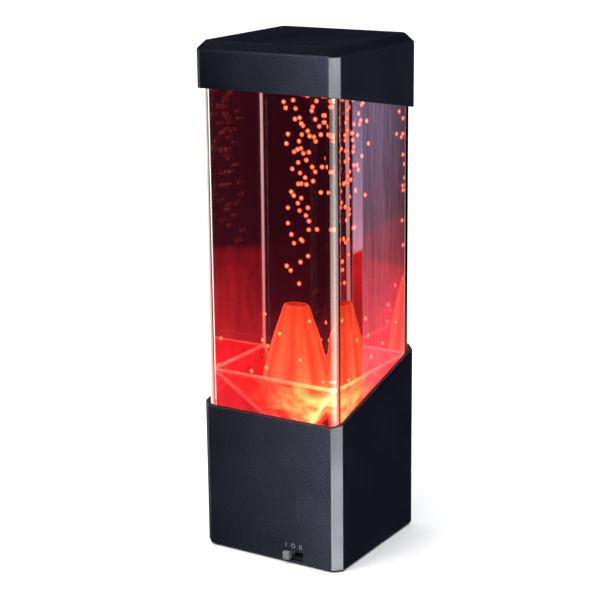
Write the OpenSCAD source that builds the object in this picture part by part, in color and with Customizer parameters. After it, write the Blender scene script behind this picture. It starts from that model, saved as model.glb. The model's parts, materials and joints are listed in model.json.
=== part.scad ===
// Volcano bead lamp. A clear square tank of liquid stands in a black base whose rim
// slopes up to the back, under a black cap whose lower edge slopes down to the back.
// A magnetic pump below the tank's cone lifts small beads, which sink back into a funnel.
// Origin: centre of the footprint on the standing plane. +Z up, the switch faces -Y.

/* [Housing] */
// Width of the square base across its flats
body_w = 80; // [79:0.5:81]
// Leg of the 45 degree cut on each upright corner
corner_cut = 4.3; // [3:0.1:4.4]
// Wall thickness of the moulded shells
wall = 2; // [1.8:0.1:2]
// Height of the base's front wall
base_front_h = 73.9; // [65:0.1:76]
// Upward slope of the base's rim towards the back
rim_angle = 15.6; // [0:0.1:16]
// How far the feet hold the base off the table
foot_h = 1.2; // [0.8:0.1:1.6]

/* [Tank] */
// Width of the tank across its flats
tank_w = 75.6; // [75:0.1:75.6]
// Thickness of the tank's walls and floor
tank_wall = 3; // [2.5:0.1:3]
// Outer corner radius of the tank
tank_r = 5; // [3:0.1:5.5]
// Height of the tank
tank_h = 191.8; // [180:0.1:192]

/* [Cap] */
// Width of the cap across its flats
cap_w = 80; // [80:0.1:82]
// Height of the cap's front wall below its top chamfer
cap_front_h = 18.3; // [12:0.1:24]
// Downward slope of the cap's lower edge towards the back
cap_angle = 10.5; // [0:0.1:12]
// Rise of the chamfer round the cap's top
cap_chamfer_h = 4.2; // [2:0.1:4.2]

/* [Volcano] */
// Height of the cone
cone_h = 47; // [35:1:48]
// Outer radius of the cone's foot
cone_foot_r = 21; // [19:0.1:21]
// Radius of the crater's hole
crater_r = 5.5; // [5.5:0.1:6]
// Rise of the funnel's panels for each millimetre outwards
funnel_slope = 1.2; // [1.15:0.01:1.25]
// Wall thickness of the funnel and the cone
clear_wall = 1.5; // [1.2:0.1:1.8]

/* [Beads] */
// Diameter of a bead
bead_d = 2.5; // [2:0.1:2.5]
// Number of beads rising above the crater
rising_count = 78; // [20:1:78]
// Number of beads sinking beside the cone
sinking_count = 16; // [0:1:20]

/* [Switch] */
// Length of the switch's slot
slot_l = 11.2; // [11.2:0.1:12]
// Height of the switch's slot
slot_h = 5.2; // [5:0.1:5.3]
// Travel of the switch from its first to its third position
switch_travel = 7.4; // [6:0.1:7.4]

/* [Power] */
// Diameter of a cell
cell_d = 14.5; // [13.5:0.1:14.5]
// Length of a cell with its terminal
cell_l = 50.5; // [48:0.1:50.5]
// Radius of the motor's case
motor_r = 12.2; // [10:0.1:12.2]
// Height of the motor's case
motor_h = 12.4; // [12:0.1:12.6]

/* [Hidden] */
$fn = 48;

black = [0.07, 0.07, 0.08];
clear = [0.9, 0.85, 0.86, 0.25];
liquid = [0.6, 0.1, 0.08, 0.2];
lava = [1, 0.35, 0.12];
board_green = [0.1, 0.4, 0.2];
steel = [0.75, 0.75, 0.77];
brass = [0.8, 0.65, 0.3];
grey = [0.65, 0.66, 0.68];

fit_gap = 0.2;                  // between fixed pieces that slide together
move_gap = 0.3;                 // between pieces that move past each other
run_gap = 0.05;                 // radial clearance of a turning shaft
touch_gap = 0.05;               // between pieces that rest on each other
eps = 0.5;                      // overrun of a cut past the face it opens
bed_half = 9.2;                 // half width of the funnel's flat bed

// Heights, from the table up
base_z = foot_h;
cover_t = 2.4;
cell_z = 11.15;
bay_roof = 18.9;
deck_z = 20.3;                  // top of the battery bay, which carries the motor
motor_z = 21.6;
bracket_z = motor_z + motor_h;
bracket_t = 1.5;
board_t = 1.6;
led_board_z = 42.8;
led_board_top = led_board_z + board_t;
carrier_z = 45.4;
carrier_t = 3;
ledge_z = 48.7;
pad_z = 50.9;
pad_t = 1;
tank_z = pad_z + pad_t;
floor_z = tank_z + tank_wall;
impeller_z = floor_z + 0.9;
impeller_t = 2.8;
pump_plate_z = 62;
funnel_floor = pump_plate_z + clear_wall;
bed_z = funnel_floor + clear_wall;
cone_z = panel_z(cone_foot_r) + touch_gap;
crater_z = cone_z + cone_h;
tank_top = tank_z + tank_h;
seal_t = 0.8;
lid_z = tank_top + seal_t;
lid_t = 2;
lid_top = lid_z + lid_t;
water_top = tank_top - 3.5;
rim_front_z = base_z + base_front_h;
rim_back_z = rim_front_z + body_w * tan(rim_angle);
shoulder_z = 253.5;
cap_top = shoulder_z + cap_chamfer_h;
cap_roof = 254;
cap_front_z = shoulder_z - cap_front_h;
control_z = 22;
inlet_z = 28;

// Plan sizes
inner_w = body_w - 2 * wall;
inner_cut = corner_cut - wall * (2 - sqrt(2));
tank_in = tank_w - 2 * tank_wall;
tank_in_r = 2;
rim_half = tank_in / 2 - 0.2;
rim_wall = 1.2;
rim_hole = rim_half - rim_wall;
rim_z = panel_z(rim_hole);
rim_band = 1.8;
ledge_window = 64;
foot_r = 3.5;
foot_edge = 0.4;
foot_recess = 0.6;
foot_at = 33.5;
corners = [[1, -1], [1, 1], [-1, 1], [-1, -1]];
boss_r = 3;
boss_x = 33.2;
boss_y = 20;
boss_split = 6.4;               // height where the cover's boss meets the base's boss
screw_r = 1.15;
cover_screw_l = 12;
screw_sink = 3;                 // depth of the cover screws' heads in the cover
bracket_leg = motor_r + 1.6;
bracket_screw_r = 1;
board_w = 70;
control_x = 22;
inlet_x = 20;
inlet_r = 4;
inlet_l = 11;
lead_r = 0.5;
filler_r = 6;
post_at = 32.5;
led_at = 19;

// Battery bay
bay_y = 6;
bay_l = 55;
bay_w = 3 * cell_d + 1;
bay_wall = 1.3;
door_t = 1.8;
door_r = door_t / 2;
door_z = base_z + 0.2;
hinge_x = -bay_l / 2 + move_gap + door_r;
hinge_z = door_z + door_r;
plate_t = 0.4;

// Switch
slot_x = 8.1;
slot_z = 2;
knob_w = 3.4;
knob_h = 4;
knob_z = slot_z + 0.3;
switch_w = 19;
switch_h = 6.2;
switch_d = 5.5;
switch_x = slot_x + slot_l / 2;
switch_z = slot_z + slot_h / 2;
wall_y = -body_w / 2 + wall;    // inner face of the front wall

// Pump
pump_r = 15;
chamber_r = 13.5;
blade_r = 12.2;
neck_r = 4.1;
tube_r = crater_r - fit_gap;
mouth_r = tube_r - 1;           // bore of the riser tube and of the crater's lip
axle_r = 1;
magnet_ring = 8.5;

// ---------- shared shapes ----------

// Square with its corners cut at 45 degrees
module cut_square(w, cut) {
    h = w / 2;
    polygon([
        [h, cut - h], [h, h - cut], [h - cut, h], [cut - h, h],
        [-h, h - cut], [-h, cut - h], [cut - h, -h], [h - cut, -h]
    ]);
}

// Square with round corners
module round_square(w, r) {
    square([w, w - 2 * r], center = true);
    square([w - 2 * r, w], center = true);
    for (c = corners)
        translate(c * (w / 2 - r)) circle(r);
}

// Half space over a plane that leaves the line y = front_y, z = front_z at an angle
module above_plane(front_y, front_z, angle) {
    size = 200;
    translate([0, front_y, front_z])
        rotate([angle, 0, 0])
            translate([-size / 2, -size / 2, 0])
                cube([size, 2 * size, size]);
}

// Upside-down square pyramid, from its cut-off point up to its mouth
module hopper(mouth, mouth_z, foot, foot_z) {
    outline = [[-foot, foot_z], [foot, foot_z], [mouth, mouth_z], [-mouth, mouth_z]];
    intersection() {
        rotate([90, 0, 0])
            linear_extrude(3 * mouth, center = true) polygon(outline);
        rotate([90, 0, 90])
            linear_extrude(3 * mouth, center = true) polygon(outline);
    }
}

// Pan-head screw with its head's underside at the origin, pointing up
module screw(r, length, head_r, head_h) {
    cylinder(r = r, h = length);
    translate([0, 0, -head_h]) difference() {
        cylinder(r = head_r, h = head_h);
        for (turn = [0, 90])
            rotate(turn)
                translate([0, 0, head_h / 4 - eps / 2])
                    cube([head_r * 1.2, head_r * 0.25, head_h / 2 + eps], center = true);
    }
}

// Point on the smooth curve through the points, t from 0 to the last index
function route(points, t) =
    let (last = len(points) - 1, i = min(floor(t), last - 1), u = t - i,
         a = points[max(i - 1, 0)], b = points[i], c = points[i + 1], d = points[min(i + 2, last)])
    b + 0.5 * (u * (c - a) + u * u * (2 * a - 5 * b + 4 * c - d) + u * u * u * (3 * b - a - 3 * c + d));
function unit(v) = v / norm(v);

// Round wire along the smooth curve through the points
module wire(points, r) {
    sides = 8;
    steps = 5;
    rings = steps * (len(points) - 1);
    across = [0.36, 0.8, 0.48];
    skin = [
        for (k = [0 : rings])
            let (t = k / steps, near = 0.01,
                 way = unit(route(points, min(t + near, rings / steps)) - route(points, max(t - near, 0))),
                 side = unit(cross(way, across)), up = cross(side, way))
            for (s = [0 : sides - 1])
                route(points, t) + r * (cos(360 * s / sides) * side + sin(360 * s / sides) * up)
    ];
    tube(skin, rings, sides);
}

// Closed tube through rings of points
module tube(skin, rings, sides) {
    walls = [
        for (k = [0 : rings - 1], s = [0 : sides - 1])
            let (n = (s + 1) % sides)
            [k * sides + s, k * sides + n, (k + 1) * sides + n, (k + 1) * sides + s]
    ];
    ends = [
        [for (s = [sides - 1 : -1 : 0]) s],
        [for (s = [0 : sides - 1]) rings * sides + s]
    ];
    polyhedron(skin, concat(walls, ends));
}

// Copies at the four screw bosses
module at_bosses() {
    for (c = corners)
        translate([c.x * boss_x, c.y * boss_y, 0]) children();
}

// Copies on the ring that the magnets follow
module at_magnet(i) {
    rotate(180 * i) translate([magnet_ring, 0, 0]) children();
}

// ---------- housing ----------

module base_housing() {
    lower_h = ledge_z - base_z;
    slot_y = -body_w / 2 - eps;
    rib_h = 11;
    color(black) difference() {
        union() {
            difference() {
                translate([0, 0, base_z])
                    linear_extrude(rim_back_z - base_z + eps) cut_square(body_w, corner_cut);
                above_plane(-body_w / 2, rim_front_z, rim_angle);
                translate([0, 0, base_z - eps])
                    linear_extrude(lower_h + eps) cut_square(inner_w, inner_cut);
                translate([0, 0, pad_z])
                    linear_extrude(tank_h) round_square(tank_w + 2 * fit_gap, tank_r);
                translate([0, 0, ledge_z - eps])
                    linear_extrude(tank_h) round_square(ledge_window, 8);
            }
            at_bosses() translate([0, 0, boss_split])
                cylinder(r = boss_r, h = deck_z - boss_split);
            // ribs that tie the bosses to the side walls
            for (c = corners)
                translate([c.x * (boss_x + body_w / 2 - wall) / 2, c.y * boss_y, deck_z - rib_h / 2])
                    cube([body_w / 2 - wall - boss_x + eps, 1.6, rib_h], center = true);
            for (c = corners)
                translate([c.x * post_at, c.y * post_at, led_board_top])
                    cylinder(r = 2.4, h = ledge_z - led_board_top + eps);
        }
        at_bosses() translate([0, 0, boss_split - eps])
            cylinder(r = screw_r + run_gap, h = base_z + screw_sink + cover_screw_l - boss_split + 2 * eps);
        for (c = corners)
            translate([c.x * post_at, c.y * post_at, led_board_top - eps])
                cylinder(r = 0.85, h = 4);
        translate([slot_x, slot_y, slot_z])
            cube([slot_l, wall + 2 * eps, slot_h]);
        // upright parting line beside the slot
        translate([20.6, slot_y, 5.2]) cube([0.25, eps + 0.3, 9]);
        // hole for the power inlet
        translate([inlet_x, body_w / 2 + eps, inlet_z])
            rotate([90, 0, 0]) cylinder(r = inlet_r + fit_gap, h = wall + 2 * eps);
    }
}

module bottom_cover() {
    plate_w = inner_w - 2 * fit_gap;
    notch_r = 1.2;
    color(black) difference() {
        union() {
            translate([0, 0, base_z])
                linear_extrude(cover_t) cut_square(plate_w, inner_cut);
            translate([-bay_l / 2 - bay_wall, bay_y - bay_w / 2 - bay_wall, base_z])
                cube([bay_l + 2 * bay_wall, bay_w + 2 * bay_wall, deck_z - base_z]);
            at_bosses() translate([0, 0, base_z])
                cylinder(r = boss_r, h = boss_split - base_z);
            for (side = [-1, 1])
                translate([side * 18, -27, base_z])
                    cylinder(r = 2, h = control_z - base_z);
        }
        // bay, open below
        translate([-bay_l / 2, bay_y - bay_w / 2, base_z - eps])
            cube([bay_l, bay_w, bay_roof - base_z + eps]);
        // sockets of the door's two hinge pins
        translate([hinge_x, bay_y, hinge_z])
            rotate([90, 0, 0])
                cylinder(r = 0.6 + run_gap, h = bay_w + 3.2, center = true);
        at_bosses() translate([0, 0, base_z - eps]) {
            cylinder(r = 2.6, h = screw_sink + eps);
            cylinder(r = screw_r + run_gap, h = boss_split);
        }
        at_bracket_feet() translate([0, 0, bay_roof - eps])
            cylinder(r = bracket_screw_r + run_gap, h = deck_z - bay_roof + 2 * eps);
        for (c = corners)
            translate([c.x * foot_at, c.y * foot_at, base_z - eps])
                cylinder(r = foot_r + fit_gap / 2, h = foot_recess + eps);
        // room for the switch
        translate([switch_x - switch_w / 2 - move_gap, wall_y - eps, base_z - eps])
            cube([switch_w + 2 * move_gap, switch_d + 1, cover_t + 2 * eps]);
        // finger notch beside the door's free edge
        translate([bay_l / 2 + notch_r, bay_y, base_z])
            rotate([90, 0, 0]) cylinder(r = notch_r, h = 14, center = true);
    }
}

module battery_door() {
    free_x = bay_l / 2 - move_gap;
    door_w = bay_w - 2 * move_gap;
    color(black) difference() {
        union() {
            translate([hinge_x, bay_y - door_w / 2, door_z])
                cube([free_x - hinge_x, door_w, door_t]);
            translate([hinge_x, bay_y, hinge_z]) rotate([90, 0, 0]) {
                cylinder(r = door_r, h = door_w, center = true);
                cylinder(r = 0.6, h = bay_w + 2.4, center = true);
            }
        }
        // finger grooves in the outer face
        for (i = [0 : 3])
            translate([free_x - 5 - 2 * i, bay_y, door_z])
                cube([0.8, 16, 1], center = true);
    }
}

module cover_screws() {
    color(steel) at_bosses() translate([0, 0, base_z + screw_sink])
        screw(screw_r, cover_screw_l, 2.3, 1.8);
}

module foot(i) {
    color([0.15, 0.15, 0.16])
        translate([corners[i].x * foot_at, corners[i].y * foot_at, 0]) {
            cylinder(r1 = foot_r - foot_edge, r2 = foot_r, h = foot_edge);
            translate([0, 0, foot_edge]) cylinder(r = foot_r, h = foot_h + foot_recess - foot_edge);
        }
}

// ---------- power ----------

// Cells lie side by side and alternate in direction
function cell_y(i) = bay_y + (i - 1) * (cell_d + 0.2);
function cell_way(i) = i == 1 ? -1 : 1;

module battery_cell(i) {
    end_x = bay_l / 2 - plate_t;
    nub = 1;
    translate([0, cell_y(i), cell_z]) mirror([cell_way(i) < 0 ? 1 : 0, 0, 0]) {
        color(grey) translate([end_x - cell_l, 0, 0])
            rotate([0, 90, 0]) cylinder(r = cell_d / 2, h = cell_l - nub);
        color(steel) translate([end_x - nub, 0, 0])
            rotate([0, 90, 0]) cylinder(r = 2.75, h = nub);
    }
}

// Helical wire that narrows towards its free end
function helix_point(t, length, turns, wide, slim) =
    let (r = wide + (slim - wide) * t, a = 360 * turns * t)
    [length * t, r * cos(a), r * sin(a)];

module battery_spring(length) {
    turns = 3;
    rings = 48;
    sides = 6;
    wire_r = 0.3;
    wide = 4.2;
    slim = 2.6;
    points = [
        for (k = [0 : rings])
            let (t = k / rings, c = helix_point(t, length, turns, wide, slim),
                 a = 360 * turns * t)
            for (s = [0 : sides - 1])
                let (b = 360 * s / sides)
                c + wire_r * [sin(b), cos(b) * cos(a), cos(b) * sin(a)]
    ];
    tube(points, rings, sides);
}

module battery_springs() {
    margin = 0.35;
    room = bay_l - 2 * plate_t - cell_l - 2 * margin;
    for (i = [0 : 2])
        color(steel) translate([0, cell_y(i), cell_z]) mirror([cell_way(i) < 0 ? 1 : 0, 0, 0])
            translate([plate_t + margin - bay_l / 2, 0, 0]) battery_spring(room);
}

module battery_plates() {
    plate = 9;
    for (i = [0 : 2], side = [-1, 1])
        color(steel)
            translate([side * (bay_l / 2 - plate_t / 2), cell_y(i), cell_z])
                cube([plate_t, plate, plate], center = true);
}

module switch_body() {
    room_w = knob_w + switch_travel + 3.2;
    room_x = slot_x + (slot_l - room_w) / 2;
    body_y = wall_y + 0.1;
    color(grey) difference() {
        translate([switch_x - switch_w / 2, body_y, switch_z - switch_h / 2])
            cube([switch_w, switch_d, switch_h]);
        // channel for the slider
        translate([room_x, body_y + 0.8, switch_z - 1.6])
            cube([room_w, 2.4, 3.2]);
        translate([slot_x, body_y - eps, switch_z - 1.3])
            cube([slot_l, 1 + 2 * eps, 2.6]);
    }
}

module switch_knob() {
    front_y = -body_w / 2 - 1.5;
    knob_x = slot_x + fit_gap;
    neck = 2;
    color([0.78, 0.79, 0.8]) {
        difference() {
            translate([knob_x, front_y, knob_z])
                cube([knob_w, wall_y - move_gap - front_y, knob_h]);
            // grip grooves
            for (i = [-1 : 1])
                translate([knob_x + knob_w / 2 + 0.9 * i, front_y, switch_z])
                    cube([0.35, 0.5, 2 * knob_h], center = true);
        }
        translate([knob_x + (knob_w - neck) / 2, wall_y - move_gap, switch_z - neck / 2])
            cube([neck, 2.2, neck]);
        translate([knob_x - 0.6, wall_y + 1.25, switch_z - 1.3])
            cube([knob_w + 1.2, 1.6, 2.6]);
    }
}

module switch_pins() {
    for (i = [-3 : 2 : 3])
        color(brass) translate([switch_x + 2 * i - 0.4, wall_y + 0.1 + switch_d, switch_z - 0.2])
            cube([0.8, 3, 0.4]);
}

module control_board() {
    color(board_green) translate([-control_x, -33.5, control_z])
        cube([2 * control_x, 13, board_t]);
}

module control_chip() {
    z = control_z + board_t;
    color([0.12, 0.12, 0.13]) translate([-2.5, -29, z + 0.2]) cube([5, 4, 1.4]);
    for (i = [0 : 3], side = [0, 1])
        color(steel) translate([-2.1 + 1.27 * i, side ? -25 : -30, z])
            cube([0.4, 1, 0.6]);
}

module capacitor() {
    color([0.15, 0.17, 0.3])
        translate([12, -27, control_z + board_t]) cylinder(r = 2.5, h = 7);
}

module dc_inlet() {
    color([0.1, 0.1, 0.11]) difference() {
        union() {
            translate([inlet_x, body_w / 2, inlet_z])
                rotate([90, 0, 0]) cylinder(r = inlet_r, h = inlet_l);
            translate([inlet_x - 4.5, body_w / 2 - wall - fit_gap / 2 - 9, inlet_z - 4.5])
                cube([9, 9, 9]);
        }
        translate([inlet_x, body_w / 2 + eps, inlet_z])
            rotate([90, 0, 0]) cylinder(r = 3, h = 9 + eps);
    }
}

module inlet_pin() {
    color(steel) translate([inlet_x, body_w / 2 - 1, inlet_z])
        rotate([90, 0, 0]) cylinder(r = 1.05, h = 8);
}

module battery_leads() {
    color([0.7, 0.1, 0.1]) wire([
        [-32, -2, 14], [-32, -2, 25], [-26, -27, 25], [-20, -27, control_z + board_t + lead_r + 0.1]
    ], lead_r);
    color([0.08, 0.08, 0.08]) wire([
        [-34.5, -2, 14], [-34.5, -2, 28], [-26, -30, 28], [-20, -30, control_z + board_t + lead_r + 0.1]
    ], lead_r);
}

module motor_leads() {
    for (side = [-1, 1])
        color(side < 0 ? [0.7, 0.1, 0.1] : [0.08, 0.08, 0.08]) wire([
            [side * 4, -14.4, 20.95], [side * 4, -16.8, 21.4], [side * 4, -19.2, 26],
            [side * 6, -23, control_z + board_t + lead_r + 0.1]
        ], lead_r);
}

module led_leads() {
    for (side = [0, 1])
        color(side ? [0.9, 0.9, 0.9] : [0.8, 0.6, 0.1]) wire([
            [16 + 2 * side, -23, control_z + board_t + lead_r + 0.1], [16 + 2 * side, -23, 30],
            [24 + 2 * side, -26, led_board_z - lead_r - 0.1]
        ], lead_r);
}

// ---------- motor and magnet drive ----------

// Copies at the two screws that hold the motor to its bracket
module at_motor_screws() {
    for (side = [-1, 1])
        translate([side * 8, 0, 0]) children();
}

// Copies at the two screws that hold the bracket to the battery bay
module at_bracket_feet() {
    for (side = [-1, 1])
        translate([side * (bracket_leg + 5), 0, 0]) children();
}

// Bridge over the motor with a foot on each side
module motor_bracket() {
    depth = 16;
    hole_r = bracket_screw_r + 0.1;
    outline = [
        [-bracket_leg - 8, 0], [-bracket_leg, 0], [-bracket_leg, bracket_z - deck_z],
        [bracket_leg, bracket_z - deck_z], [bracket_leg, 0], [bracket_leg + 8, 0],
        [bracket_leg + 8, bracket_t], [bracket_leg + bracket_t, bracket_t],
        [bracket_leg + bracket_t, bracket_z + bracket_t - deck_z],
        [-bracket_leg - bracket_t, bracket_z + bracket_t - deck_z],
        [-bracket_leg - bracket_t, bracket_t], [-bracket_leg - 8, bracket_t]
    ];
    color(steel) difference() {
        translate([0, 0, deck_z]) rotate([90, 0, 0])
            linear_extrude(depth, center = true) polygon(outline);
        translate([0, 0, bracket_z - eps]) cylinder(r = 3.3, h = bracket_t + 2 * eps);
        at_motor_screws() translate([0, 0, bracket_z - eps]) cylinder(r = hole_r, h = bracket_t + 2 * eps);
        at_bracket_feet() translate([0, 0, deck_z - eps]) cylinder(r = hole_r, h = bracket_t + 2 * eps);
    }
}

module bracket_screws() {
    color(steel) {
        at_motor_screws() translate([0, 0, bracket_z + bracket_t])
            mirror([0, 0, 1]) screw(bracket_screw_r, bracket_t + 1, 1.9, 1.2);
        at_bracket_feet() translate([0, 0, deck_z + bracket_t])
            mirror([0, 0, 1]) screw(bracket_screw_r, bracket_t + 1, 1.9, 1.2);
    }
}

module motor_case() {
    shell = 0.6;
    color(steel) difference() {
        union() {
            translate([0, 0, motor_z]) cylinder(r = motor_r, h = motor_h);
            translate([0, 0, bracket_z]) cylinder(r = 3.1, h = 1.4);
        }
        translate([0, 0, motor_z - eps]) cylinder(r = motor_r - shell, h = motor_h + eps - shell);
        translate([0, 0, bracket_z - 2]) cylinder(r = axle_r + run_gap, h = 5);
        at_motor_screws() translate([0, 0, bracket_z - 2]) cylinder(r = bracket_screw_r + 0.1, h = 3);
    }
}

module motor_end_cap() {
    color([0.2, 0.2, 0.22]) difference() {
        translate([0, 0, deck_z + 0.2]) cylinder(r = motor_r - 0.6, h = 2.2);
        translate([0, 0, motor_z - 0.6]) cylinder(r = axle_r + run_gap, h = 3);
        for (side = [-1, 1])
            translate([side * 4 - 0.9, -motor_r - 1, motor_z - 1]) cube([1.8, 4, 0.5]);
    }
}

module motor_terminals() {
    for (side = [-1, 1])
        color(brass) translate([side * 4 - 0.8, -motor_r - 2.2, motor_z - 0.95]) cube([1.6, 5, 0.4]);
}

module field_magnets() {
    color([0.25, 0.25, 0.27]) difference() {
        translate([0, 0, motor_z + 1.5]) cylinder(r = motor_r - 0.7, h = 8.8);
        translate([0, 0, motor_z]) cylinder(r = 9, h = 12);
        for (side = [-1, 1])
            translate([side * motor_r, 0, motor_z + 6]) cube([8, 5, 12], center = true);
    }
}

module motor_armature() {
    poles = 3;
    color([0.7, 0.4, 0.2]) difference() {
        translate([0, 0, motor_z + 1.9]) cylinder(r = 8.4, h = 8);
        translate([0, 0, motor_z]) cylinder(r = axle_r, h = motor_h);
        for (i = [0 : poles - 1])
            rotate(360 * i / poles) translate([5, -0.8, motor_z]) cube([5, 1.6, motor_h]);
    }
}

module motor_shaft() {
    color(steel) translate([0, 0, motor_z - 0.4])
        cylinder(r = axle_r, h = carrier_z + carrier_t - motor_z);
}

module magnet_carrier() {
    color([0.85, 0.85, 0.87]) difference() {
        union() {
            translate([0, 0, carrier_z - 4]) cylinder(r = 3.5, h = 4);
            translate([0, 0, carrier_z]) cylinder(r = 12.5, h = carrier_t);
        }
        translate([0, 0, carrier_z - 5]) cylinder(r = axle_r, h = 10);
        for (i = [0, 1])
            at_magnet(i) translate([0, 0, carrier_z + 1]) cylinder(r = 3, h = carrier_t);
    }
}

module drive_magnet(i) {
    color(steel) at_magnet(i) translate([0, 0, carrier_z + 1]) cylinder(r = 3, h = 2.2);
}

// ---------- light ----------

module led_board() {
    color(board_green) difference() {
        translate([0, 0, led_board_z]) linear_extrude(board_t) cut_square(board_w, 2);
        translate([0, 0, led_board_z - eps]) cylinder(r = 14.5, h = 2 * board_t);
        for (c = corners)
            translate([c.x * post_at, c.y * post_at, led_board_z - eps])
                cylinder(r = 1.1, h = 2 * board_t);
    }
}

module board_screws() {
    color(steel) for (c = corners)
        translate([c.x * post_at, c.y * post_at, led_board_z]) screw(0.8, 4.5, 1.8, 1.2);
}

module led(i) {
    lens_r = 2.5;
    color([1, 0.6, 0.3])
        translate([corners[i].x * led_at, corners[i].y * led_at, led_board_top]) {
            cylinder(r = 2.9, h = 1);
            cylinder(r = lens_r, h = 3.6);
            translate([0, 0, 3.6]) intersection() {
                sphere(lens_r);
                cylinder(r = 2 * lens_r, h = 2 * lens_r);
            }
        }
}

// ---------- tank ----------

module tank_pad() {
    color([0.2, 0.2, 0.2]) translate([0, 0, pad_z]) linear_extrude(pad_t) difference() {
        round_square(tank_w, tank_r);
        round_square(ledge_window, 8);
    }
}

module tank() {
    color(clear) {
        difference() {
            translate([0, 0, tank_z]) linear_extrude(tank_h) round_square(tank_w, tank_r);
            translate([0, 0, floor_z]) linear_extrude(tank_h) round_square(tank_in, tank_in_r);
        }
        // collar that holds the axle
        difference() {
            translate([0, 0, floor_z - 0.1]) cylinder(r = 2.4, h = 0.7);
            translate([0, 0, floor_z]) cylinder(r = axle_r, h = 1);
        }
    }
}

module pump_housing() {
    color(clear) difference() {
        union() {
            translate([0, 0, floor_z]) cylinder(r = pump_r, h = funnel_floor - floor_z);
            translate([0, 0, funnel_floor]) cylinder(r = neck_r, h = 3.4);
        }
        translate([0, 0, floor_z - eps]) cylinder(r = chamber_r, h = pump_plate_z - floor_z + eps);
        translate([0, 0, floor_z]) cylinder(r = neck_r - 1, h = 30);
        // intake windows
        for (turn = [0 : 45 : 135])
            rotate(turn) translate([0, 0, floor_z + 2.6]) cube([40, 5, 3.2], center = true);
    }
}

module impeller_axle() {
    color(steel) translate([0, 0, floor_z]) cylinder(r = axle_r, h = 6.4);
}

module impeller() {
    hub_r = 3;
    blades = 6;
    color([0.9, 0.9, 0.9]) difference() {
        union() {
            translate([0, 0, impeller_z]) cylinder(r = blade_r, h = impeller_t);
            translate([0, 0, impeller_z]) cylinder(r = hub_r, h = impeller_t + 2.4);
            for (i = [0 : blades - 1])
                rotate(360 * i / blades)
                    translate([hub_r - eps, -0.5, impeller_z + impeller_t - 0.1])
                        cube([blade_r - hub_r, 1, 2.4]);
        }
        translate([0, 0, impeller_z - eps]) cylinder(r = axle_r + run_gap, h = 8);
        for (i = [0, 1])
            at_magnet(i) translate([0, 0, impeller_z - eps]) cylinder(r = 2.5, h = 2 + eps);
    }
}

module impeller_magnet(i) {
    color(steel) at_magnet(i) translate([0, 0, impeller_z]) cylinder(r = 2.5, h = 2);
}

// Tube that carries the beads from the funnel up to the crater; grow thickens it
module riser_tube(grow = 0) {
    top = crater_z - 4;
    color(clear) difference() {
        translate([0, 0, bed_z - grow]) cylinder(r = tube_r + grow, h = top - bed_z + 2 * grow);
        translate([0, 0, bed_z - 1]) cylinder(r = mouth_r - grow, h = top);
        for (turn = [45, 135])
            rotate(turn) translate([0, 0, bed_z + 2.4])
                cube([20, 3.6 - 2 * grow, 3.8 - 2 * grow], center = true);
    }
}

// Height of the funnel's inside at a distance from the centre
function panel_z(half) = bed_z + (half - bed_half) * funnel_slope;

// Clear hopper below the cone; grow thickens it
module funnel(grow = 0) {
    over = 12;                  // the panels are drawn past the rim and trimmed there
    drop = clear_wall * sqrt(1 + pow(funnel_slope, 2)) + rim_wall * funnel_slope;
    color(clear) difference() {
        intersection() {
            union() {
                hopper(rim_hole + over, panel_z(rim_hole + over) - drop - 2 * grow,
                       bed_half + rim_wall, funnel_floor - grow);
                translate([0, 0, rim_z - rim_band - grow])
                    linear_extrude(rim_band + 2 * grow) square(tank_in, center = true);
            }
            translate([0, 0, funnel_floor - grow])
                linear_extrude(rim_z - funnel_floor + 2 * grow)
                    round_square(tank_in - 0.3 + 2 * grow, tank_in_r);
        }
        translate([0, 0, bed_z + grow])
            hopper(rim_hole + over, panel_z(rim_hole + over) - bed_z, bed_half - grow, 0);
        translate([0, 0, floor_z]) cylinder(r = neck_r + fit_gap - grow, h = 20);
    }
}

// Cone profile: outside down from the lip, then the hollow back up; grow thickens it
function cone_outline(grow) = [
    [crater_r - grow, crater_z - 0.2 * cone_h], [crater_r - grow, crater_z - 3.5 - grow],
    [mouth_r - grow, crater_z - 3.5 - grow], [mouth_r - grow, crater_z - 0.7],
    [mouth_r + 0.7, crater_z + grow], [mouth_r + 2, crater_z + grow],
    [mouth_r + 3.1 + grow, crater_z - 1.4], [cone_foot_r * 0.45 + grow, crater_z - 0.155 * cone_h],
    [cone_foot_r * 0.58 + grow, crater_z - 0.31 * cone_h],
    [cone_foot_r * 0.75 + grow, crater_z - 0.56 * cone_h],
    [cone_foot_r * 0.89 + grow, crater_z - 0.78 * cone_h],
    [cone_foot_r + grow, cone_z - grow], [cone_foot_r - clear_wall - grow, cone_z - grow],
    [cone_foot_r * 0.89 - clear_wall - grow, crater_z - 0.78 * cone_h],
    [cone_foot_r * 0.58 - clear_wall - grow, crater_z - 0.31 * cone_h]
];

module volcano_cone(grow = 0) {
    color(lava) rotate_extrude() polygon(cone_outline(grow));
}

module water_fill() {
    gap = 0.1;
    color(liquid) difference() {
        translate([0, 0, floor_z + gap])
            linear_extrude(water_top - floor_z - gap)
                round_square(tank_in - 2 * gap, tank_in_r);
        translate([0, 0, floor_z - eps])
            cylinder(r = pump_r + gap, h = funnel_floor - floor_z + eps + gap);
        translate([0, 0, floor_z]) cylinder(r = neck_r + gap, h = funnel_floor - floor_z + 3.5);
        riser_tube(gap);
        funnel(gap);
        volcano_cone(gap);
        rising_beads(gap);
        sinking_beads(gap);
    }
}

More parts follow.
